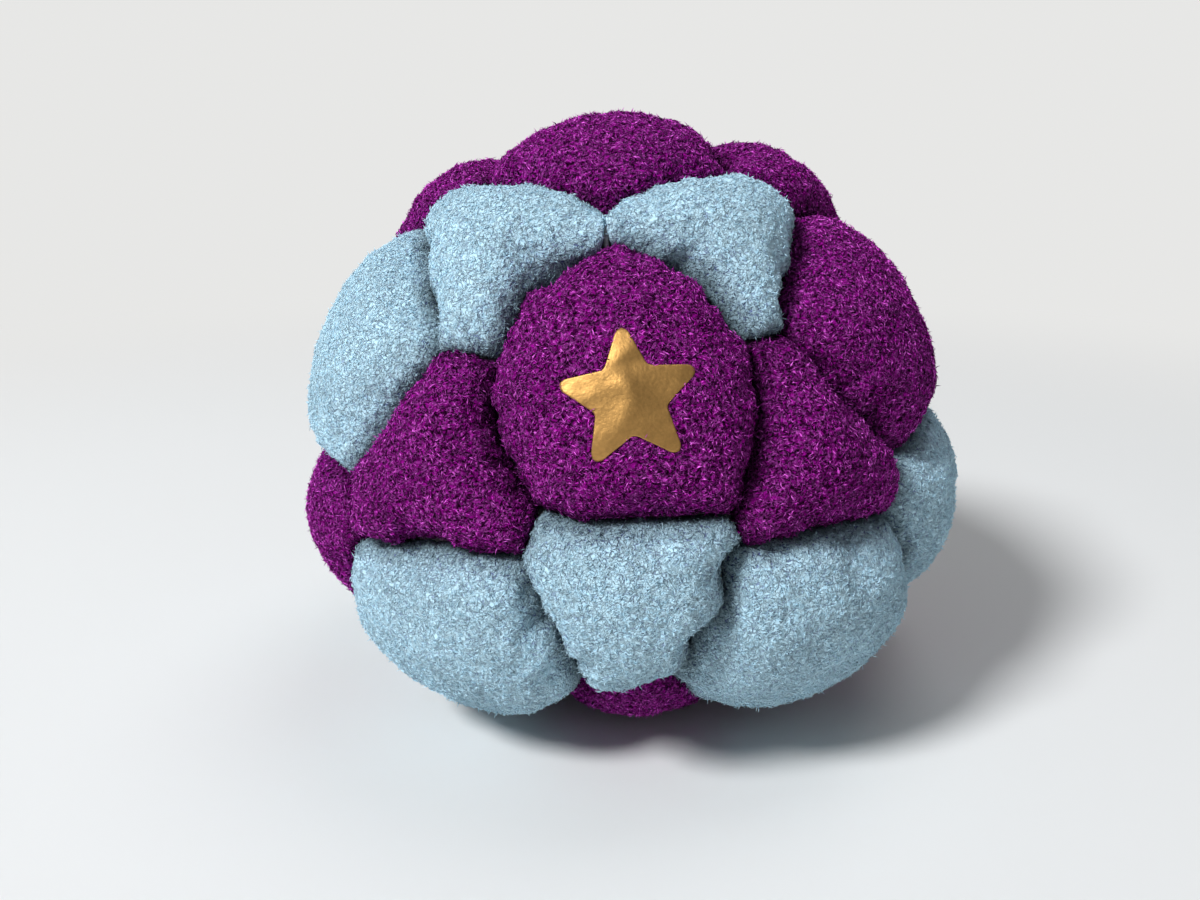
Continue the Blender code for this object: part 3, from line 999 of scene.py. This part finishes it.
def under_star(points, margin):
    """Which points lie inside the star's rim, and how far past it still counts."""
    across = points - np.array(star_centre)
    sideways, upwards = across @ np.array(star_side), across @ np.array(star_up)
    angles = np.arctan2(-sideways, upwards) - star_tilt
    rims = np.array([star_reach(angle) + margin for angle in angles])
    return (np.hypot(sideways, upwards) < rims) & (across @ np.array(outward) > -round_reach)


def make_star(surface):
    """A thin star of foil, pressed onto the front panel."""
    builder = bmesh.new()
    steps = np.linspace(foil_middle_share, 1, foil_rings + 1)
    chain = [builder.verts.new((0, step, 0)) for step in steps]
    edges = [builder.edges.new(pair) for pair in zip(chain, chain[1:])]
    bmesh.ops.spin(
        builder, geom=chain + edges, cent=(0, 0, 0), axis=(0, 0, 1), angle=math.tau,
        steps=foil_steps, use_merge=True,
    )
    inner = [edge for edge in builder.edges if edge.is_boundary and edge.verts[0].co.length < 0.5]
    bmesh.ops.holes_fill(builder, edges=inner)
    for vert in builder.verts:
        angle = math.atan2(-vert.co.x, vert.co.y)
        reach = vert.co.length * star_reach(angle)
        angle += star_tilt
        spot = star_centre + (star_side * -math.sin(angle) + star_up * math.cos(angle)) * reach
        levels = []
        for sideways, upwards in foil_spread_shares:
            above = spot + (star_side * sideways + star_up * upwards) * tuft_size
            above += outward * cast_height
            level = (surface.ray_cast(above, -outward)[0] - above).dot(outward)
            levels.append(level + cast_height)
        crinkle = noise.noise(spot / foil_crinkle_size) * foil_crinkle
        vert.co = spot + outward * (sum(levels) / len(levels) + crinkle)
    bmesh.ops.recalc_face_normals(builder, faces=builder.faces[:])
    mesh = mesh_from(builder, "foil_star")
    mesh.shade_smooth()
    star = add_object("foil_star", mesh)
    wall = star.modifiers.new("wall", "SOLIDIFY")
    wall.thickness = foil_thickness
    return star


def scatter_group(shape, smallest):
    """Puts a copy of a shape on every point of a mesh, turned along the point's way."""
    tree, points = geometry_group("scatter_" + shape.name, "Points", "Shapes")
    turned = add_node(
        tree, "FunctionNodeAlignRotationToVector", {"axis": "Z"},
        {"Vector": attribute_of(tree, "way", "FLOAT_VECTOR")},
    )
    sizes = random_value(tree, "FLOAT", smallest, 1.0, 17)
    placed = copies(tree, shape, points, turned.outputs[0], sizes)
    real = add_node(tree, "GeometryNodeRealizeInstances", {}, {"Geometry": placed})
    return ended(tree, real.outputs[0])


def scattered(name, spots, ways, size, smallest):
    """Beads of one size, width by length, at spots and along ways, as one piece."""
    builder = bmesh.new()
    bmesh.ops.create_uvsphere(builder, u_segments=6, v_segments=5, radius=0.5)
    width, length = size
    bmesh.ops.scale(builder, vec=(width, width, length), verts=builder.verts[:])
    mesh = bpy.data.meshes.new(name + "_bead")
    builder.to_mesh(mesh)
    mesh.shade_smooth()
    bead = add_object(name + "_bead", mesh)
    builder.clear()
    for spot in spots:
        builder.verts.new(spot)
    points = mesh_from(builder, name + "_points")
    points.attributes.new("way", "FLOAT_VECTOR", "POINT").data.foreach_set(
        "vector", [value for way in ways for value in way]
    )
    piece = add_object(name, worked(points, scatter_group(bead, smallest)))
    bpy.data.objects.remove(bead)
    return piece


def make_stitches(shift):
    """Running stitches along every seam, between the turned-in edges."""
    seams = []
    for name in [TOP, BOTTOM, *SHOULDER, *HIP]:
        outline, steps = outlines[name], long_seam_steps
        seams += [outline[i * steps:(i + 1) * steps] for i in range(5)]
    for three in BETWEEN.values():
        for near, far in zip(three, (*three[1:], three[0])):
            if near < far:
                seams.append(short_seam(aims, near, far))
    spots, ways = [], []
    for seam in seams:
        rim = np.array([point[:] for point in seam])
        rim = rim * (groove_radius(rim) - stitch_depth)[:, None]
        lengths = np.concatenate([[0], np.cumsum(np.linalg.norm(np.diff(rim, axis=0), axis=1))])
        count = max(round(lengths[-1] / stitch_pitch), 1)
        for i in range(count):
            at = [(i + share) / count * lengths[-1] for share in stitch_spans]
            places = [np.interp(at, lengths, rim[:, k]) for k in range(3)]
            before, here, after = np.stack(places, axis=1)
            spots.append(here + (0, 0, heart_height) + shift)
            ways.append(after - before)
    size = (thread_width, stitch_length)
    return scattered("seam_thread_stitches", spots, ways, size, smallest_stitch_share)


def make_pellets(shift):
    """The loose fill: pellets packed in layers up to the inner faces of the panels."""
    row, layer = pellet_size * math.sqrt(3) / 2, pellet_size * math.sqrt(2 / 3)
    reach = math.ceil(half_width / row)
    spots = []
    for k in range(-reach, reach + 1):
        for j in range(-reach, reach + 1):
            for i in range(-reach, reach + 1):
                x = (i + (j % 2) / 2 + (k % 2) / 2) * pellet_size
                spots.append((x, (j + (k % 2) / 3) * row, k * layer))
    spots = np.array(spots)
    spots += [noise.noise_vector(Vector(spot) / nudge_size) * nudge_reach for spot in spots]
    distance = np.maximum(np.linalg.norm(spots, axis=1), 1e-6)
    room = groove_radius(spots / distance[:, None]) - turned_edge - pellet_depth - pellet_size / 2
    kept = distance < room
    spots = spots[kept] + (0, 0, heart_height) + shift
    ways = [noise.noise_vector(Vector(spot) / turn_size) for spot in spots]
    size = (pellet_size, pellet_size * pellet_length_share)
    return scattered("loose_fill_pellets", spots, ways, size, smallest_pellet_share)


def make_floor():
    """A pale floor that curves up into a backdrop far behind."""
    builder = bmesh.new()
    profile = [(-floor_front, 0.0), (floor_back, 0.0)]
    for angle in np.linspace(0.1, math.pi / 2, 16):
        behind, above = math.sin(angle), 1 - math.cos(angle)
        profile.append((floor_back + floor_curve * behind, floor_curve * above))
    profile.append((floor_back + floor_curve, backdrop_top))
    chain = [builder.verts.new((-floor_half_width, y, z)) for y, z in profile]
    edges = [builder.edges.new(pair) for pair in zip(chain, chain[1:])]
    made = bmesh.ops.extrude_edge_only(builder, edges=edges)["geom"]
    ends = [part for part in made if isinstance(part, bmesh.types.BMVert)]
    bmesh.ops.translate(builder, vec=(2 * floor_half_width, 0, 0), verts=ends)
    bmesh.ops.recalc_face_normals(builder, faces=builder.faces[:])
    mesh = mesh_from(builder, "floor")
    mesh.shade_smooth()
    return add_object("floor", mesh)


def floor_material():
    """A pale floor that keeps the shadow near the bag and stays evenly pale far behind it."""
    made, tree, shader = new_material("pale_floor", FLOOR_COLOUR)
    shader.inputs["Base Color"].default_value = (*FLOOR_COLOUR, 1.0)
    shader.inputs["Roughness"].default_value = floor_roughness
    place = add_node(tree, "ShaderNodeTexCoord").outputs["Object"]
    away = add_node(tree, "ShaderNodeVectorMath", {"operation": "LENGTH"}, {"Vector": place})
    far = ramped(tree, away.outputs["Value"], *even_floor_reach, kind="SMOOTHSTEP")
    rays = add_node(tree, "ShaderNodeLightPath").outputs
    seen = maths(tree, "MAXIMUM", rays["Is Camera Ray"], rays["Is Glossy Ray"])
    seen = maths(tree, "MAXIMUM", seen, rays["Is Transmission Ray"])
    even = add_node(tree, "ShaderNodeEmission", {}, {"Color": (*FLOOR_COLOUR, 1.0)})
    both = add_node(
        tree, "ShaderNodeMixShader", {},
        {
            "Fac": maths(tree, "MULTIPLY", far, seen),
            "Shader": shader.outputs[0],
            "Shader_001": even.outputs[0],
        },
    )
    tree.links.new(both.outputs[0], tree.nodes["Material Output"].inputs["Surface"])
    return made


def add_lamp(name, place, size, power, colour):
    """A round lamp that shines at the bag."""
    lamp = bpy.data.lights.new(name, "AREA")
    lamp.shape = "DISK"
    lamp.size = size
    lamp.energy = power
    lamp.color = colour
    made = add_object(name, lamp)
    made.location = place
    way = Vector((0, 0, lit_level)) - Vector(place)
    made.rotation_euler = way.to_track_quat("-Z", "Y").to_euler()


BETWEEN = three_round_neighbours()
aims = round_panel_aims()
outlines = {name: round_outline(aims, name) for name in [TOP, BOTTOM, *SHOULDER, *HIP]}
outlines.update({name: six_sided_outline(aims, three) for name, three in BETWEEN.items()})

tucked = tuck_points(aims)
templates = {True: cut_cloth(round_panel_segments), False: cut_cloth(six_sided_panel_segments)}
panels = [
    Panel(name, templates[name not in BETWEEN].copy(), outline, tucked)
    for name, outline in outlines.items()
]
blow_up(panels)
for panel in panels:
    panel.keep_beside_seam()
    panel.rest_on_floor()
crowns = np.vstack([panel.points for panel in panels])
middle = (crowns.min(axis=0) + crowns.max(axis=0)) / 2
shift = np.array((-middle[0], -middle[1], 0.0))

outward = aims[FRONT]
star_side = Vector((0, 0, 1)).cross(outward).normalized()
star_centre = Vector(shift) + Vector((0, 0, heart_height)) + outward * half_width
star_up = outward.cross(star_side)
star_centre += star_side * star_right - star_up * star_drop

tone = tone_group()
relief = relief_group()
fibre = make_fibre()
nap = nap_group(fibre)
skins = {look: (suede(look, tone, False), suede(look, tone, True)) for look in (PURPLE, BLUE)}
for panel in panels:
    placed = panel.points + shift
    room = np.where(panel.on_face, np.clip(panel.far / bare_edge, least_room_share, 1), 0.0)
    place_points(panel.mesh, placed)
    look = BLUE if panel.name in BLUE_PANELS else PURPLE
    tufted = room * blue_tuft_share if look is BLUE else room
    flat = tufted * ~under_star(placed, flat_margin) if panel.name == FRONT else tufted
    # Distance from the seams, which sets the painted shade there; the shallow seam gets less of it
    clear = panel.far + shallow_less_shade_share * panel.shallow
    for name, values in (("room", room), ("relief", flat), ("far", clear)):
        panel.mesh.attributes.new(name, "FLOAT", "POINT").data.foreach_set("value", values)
    panel.mesh.shade_smooth()
    made = worked(panel.mesh, relief, smoothing_levels)
    spots = coordinates(made)
    spots[:, 2] = np.maximum(spots[:, 2], 0.0)
    place_points(made, spots)
    made.materials.append(skins[look][0])
    piece = add_object(panel.name + "_suede", made)
    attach(piece, "root")
    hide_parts(panel.name)
    if panel.name == FRONT:
        under_foil = under_star(coordinates(made), foil_margin)
        values = np.empty(len(made.vertices))
        made.attributes["room"].data.foreach_get("value", values)
        values[under_foil] = 0.0
        made.attributes["room"].data.foreach_set("value", values)
        surface = BVHTree.FromObject(piece, bpy.context.evaluated_depsgraph_get())
        star = make_star(surface)
        pressed = coordinates(made) - np.outer(under_foil, outward) * foil_press
        place_points(made, pressed)
    fuzz = worked(made, nap)
    spots = coordinates(fuzz)
    spots[:, 2] = np.maximum(spots[:, 2], nap_above_floor)
    place_points(fuzz, spots)
    fuzz.materials.clear()
    fuzz.materials.append(skins[look][1])
    hair = add_object(panel.name + "_nap", fuzz)
    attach(hair, "root")
bpy.data.objects.remove(fibre)

star.data.materials.append(plain_material("gold_foil"))
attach(star, "root")

stitches = make_stitches(shift)
stitches.data.materials.append(plain_material("seam_thread"))
pellets = make_pellets(shift)
pellets.data.materials.append(plain_material("loose_fill"))
for piece, node in ((stitches, "seam_thread"), (pellets, "loose_fill")):
    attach(piece, "root")
    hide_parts(node)

floor = make_floor()
floor.data.materials.append(floor_material())

world = bpy.data.worlds.new("studio")
world.use_nodes = True
world.node_tree.nodes["Background"].inputs["Color"].default_value = (*WORLD_COLOUR, 1.0)
world.node_tree.nodes["Background"].inputs["Strength"].default_value = world_strength
bpy.context.scene.world = world
for name, finish in LAMPS.items():
    add_lamp(name, *finish)

camera = bpy.data.cameras.new("camera")
camera.lens = camera_lens
camera.sensor_width = camera_sensor
camera.clip_start = 0.001
viewer = add_object("camera", camera)
viewer.location = camera_place
viewer.rotation_euler = (camera_tilt, 0, 0)
bpy.context.scene.camera = viewer
bpy.context.scene.view_settings.view_transform = "Standard"
